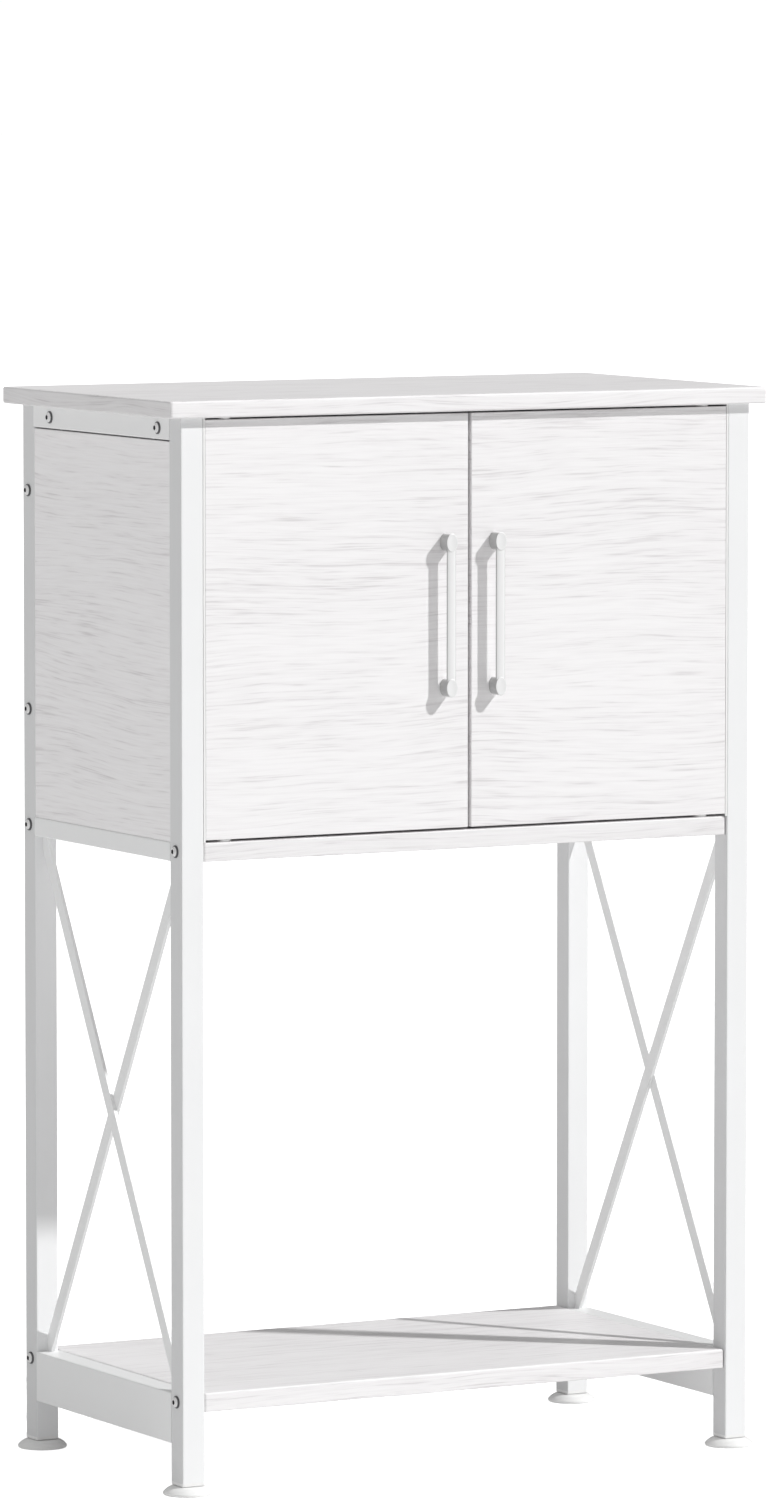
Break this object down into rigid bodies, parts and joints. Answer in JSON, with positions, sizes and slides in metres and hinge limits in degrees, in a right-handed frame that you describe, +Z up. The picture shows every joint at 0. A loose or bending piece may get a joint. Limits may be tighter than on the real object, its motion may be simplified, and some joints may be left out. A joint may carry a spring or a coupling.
{
  "type": "aquarium stand cabinet",
  "caption": "Steel-framed aquarium stand with a wood-grain top board, a hinged-door cabinet under it, a cross-braced open bay with a shelf, and levelling feet.",
  "frame": {"origin": "on the floor at the centre of the footprint, which is the centre of the bounding box's base", "axes": "+X along the width to the right as seen from the doors, +Y to the back, +Z up"},
  "size_m": [0.6, 0.335, 0.957],
  "materials": {
    "painted_frame": "satin white powder coat on steel tube and flat bar",
    "laminate_board": "white wood-grain laminate on particle board, matt",
    "painted_handle": "smooth white gloss paint on cast metal",
    "painted_bolts": "white paint on socket button-head bolts",
    "zinc_steel": "bright zinc plating",
    "white_plastic": "moulded white plastic",
    "magnet": "dark grey ferrite"
  },
  "bodies": {
    "root": {"back_leg_left": "painted_frame", "back_leg_right": "painted_frame", "back_panel": "laminate_board", "back_panel_barrel_nuts": "zinc_steel", "back_stretcher": "painted_frame", "board_screws": "zinc_steel", "bolts_left": "painted_bolts", "bolts_right": "painted_bolts", "bottom_rail_left": "painted_frame", "bottom_rail_right": "painted_frame", "bottom_shelf": "laminate_board", "bottom_shelf_barrel_nuts": "zinc_steel", "cabinet_floor": "laminate_board", "cabinet_floor_barrel_nuts": "zinc_steel", "catch_cases": "white_plastic", "catch_magnets": "magnet", "catch_screws": "zinc_steel", "cover_strip_left": "white_plastic", "cover_strip_right": "white_plastic", "front_leg_left": "painted_frame", "front_leg_right": "painted_frame", "front_stretcher": "painted_frame", "inner_brace_left": "painted_frame", "inner_brace_right": "painted_frame", "leg_inserts": "white_plastic", "lower_hinge_bushes": "white_plastic", "mid_rail_left": "painted_frame", "mid_rail_right": "painted_frame", "outer_brace_left": "painted_frame", "outer_brace_right": "painted_frame", "panel_pins_left": "zinc_steel", "panel_pins_right": "zinc_steel", "side_panel_left": "laminate_board", "side_panel_right": "laminate_board", "stretcher_end_nuts": "zinc_steel", "top_board": "laminate_board", "top_rail_left": "painted_frame", "top_rail_right": "painted_frame", "upper_hinge_bushes": "white_plastic"},
    "door_left": {"door_left": "laminate_board", "handle_left": "painted_handle", "handle_screws_left": "zinc_steel", "upper_hinge_pin_left": "zinc_steel", "lower_hinge_pin_left": "zinc_steel", "strike_plate_left": "zinc_steel", "strike_screws_left": "zinc_steel"},
    "door_right": {"door_right": "laminate_board", "handle_right": "painted_handle", "handle_screws_right": "zinc_steel", "upper_hinge_pin_right": "zinc_steel", "lower_hinge_pin_right": "zinc_steel", "strike_plate_right": "zinc_steel", "strike_screws_right": "zinc_steel"},
    "front_foot_left": {"front_foot_left": "white_plastic"},
    "back_foot_left": {"back_foot_left": "white_plastic"},
    "front_foot_right": {"front_foot_right": "white_plastic"},
    "back_foot_right": {"back_foot_right": "white_plastic"}
  },
  "joints": [
    {"name": "door_hinge_left", "type": "hinge", "parent": "root", "child": "door_left", "pos_m": [-0.2404, -0.1465, 0.5745], "axis": [0, 0, -1], "range_deg": [0, 110]},
    {"name": "door_hinge_right", "type": "hinge", "parent": "root", "child": "door_right", "pos_m": [0.2404, -0.1465, 0.5745], "axis": [0, 0, 1], "range_deg": [0, 110]},
    {"name": "front_foot_slide_left", "type": "slide", "parent": "root", "child": "front_foot_left", "axis": [0, 0, -1], "range_m": [0, 0.012]},
    {"name": "back_foot_slide_left", "type": "slide", "parent": "root", "child": "back_foot_left", "axis": [0, 0, -1], "range_m": [0, 0.012]},
    {"name": "front_foot_slide_right", "type": "slide", "parent": "root", "child": "front_foot_right", "axis": [0, 0, -1], "range_m": [0, 0.012]},
    {"name": "back_foot_slide_right", "type": "slide", "parent": "root", "child": "back_foot_right", "axis": [0, 0, -1], "range_m": [0, 0.012]}
  ]
}
